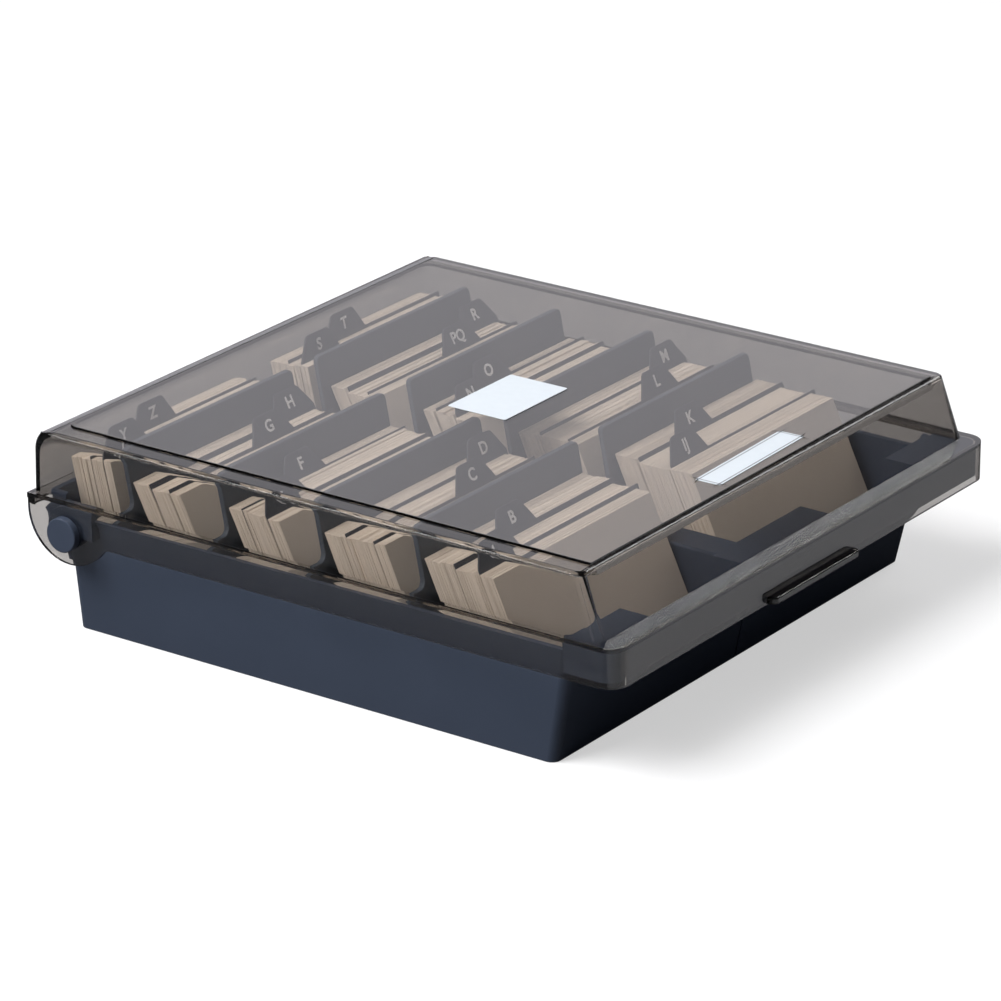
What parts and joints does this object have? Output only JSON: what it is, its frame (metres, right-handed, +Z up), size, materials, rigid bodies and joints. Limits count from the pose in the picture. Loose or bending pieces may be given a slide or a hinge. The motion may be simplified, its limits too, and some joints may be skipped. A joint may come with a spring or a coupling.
{
  "type": "business card box",
  "caption": "Flat box for business cards with a hinged smoked clear lid over a dark tapered tray, two columns of cards, leaning partitions, index sheets with tabs and finger scoops.",
  "frame": {"origin": "middle of the overall box on the plane the tray stands on", "axes": "X along the front, Y from the front to the hinge at the back, Z up"},
  "size_m": [0.2378, 0.2462, 0.0729],
  "materials": {
    "lid_plastic": "clear smoked brown-grey plastic, glossy",
    "tray_plastic": "moulded, dark blue-grey, fine satin",
    "pin_plastic": "moulded, satin",
    "partition_plastic": "moulded, satin",
    "card": "stacked card edges, beige",
    "index_sheet": "thin dark sheet",
    "label_paper": "white adhesive paper"
  },
  "bodies": {
    "tray": {"cards_left_1": "card", "cards_left_2": "card", "cards_left_3": "card", "cards_left_4": "card", "cards_left_5": "card", "cards_right_1": "card", "cards_right_2": "card", "cards_right_3": "card", "cards_right_4": "card", "cards_right_5": "card", "hinge_pin_left": "pin_plastic", "hinge_pin_right": "pin_plastic", "index_sheet_left_1_front": "index_sheet", "index_sheet_left_1_rear": "index_sheet", "index_sheet_left_2_front": "index_sheet", "index_sheet_left_2_rear": "index_sheet", "index_sheet_left_3_front": "index_sheet", "index_sheet_left_3_rear": "index_sheet", "index_sheet_left_4_front": "index_sheet", "index_sheet_left_4_rear": "index_sheet", "index_sheet_left_5_front": "index_sheet", "index_sheet_left_5_rear": "index_sheet", "index_sheet_right_1_front": "index_sheet", "index_sheet_right_1_rear": "index_sheet", "index_sheet_right_2_front": "index_sheet", "index_sheet_right_2_rear": "index_sheet", "index_sheet_right_3_front": "index_sheet", "index_sheet_right_3_rear": "index_sheet", "index_sheet_right_4_front": "index_sheet", "index_sheet_right_4_rear": "index_sheet", "index_sheet_right_5_front": "index_sheet", "index_sheet_right_5_rear": "index_sheet", "partition_left_1": "partition_plastic", "partition_left_2": "partition_plastic", "partition_left_3": "partition_plastic", "partition_left_4": "partition_plastic", "partition_right_1": "partition_plastic", "partition_right_2": "partition_plastic", "partition_right_3": "partition_plastic", "partition_right_4": "partition_plastic", "tray": "tray_plastic"},
    "lid": {"lid": "lid_plastic", "wide_label": "label_paper", "long_label": "label_paper"}
  },
  "joints": [
    {"name": "lid_hinge", "type": "hinge", "parent": "tray", "child": "lid", "pos_m": [0, 0.10645, 0.0382], "axis": [-1, 0, 0], "range_deg": [0, 99]}
  ]
}
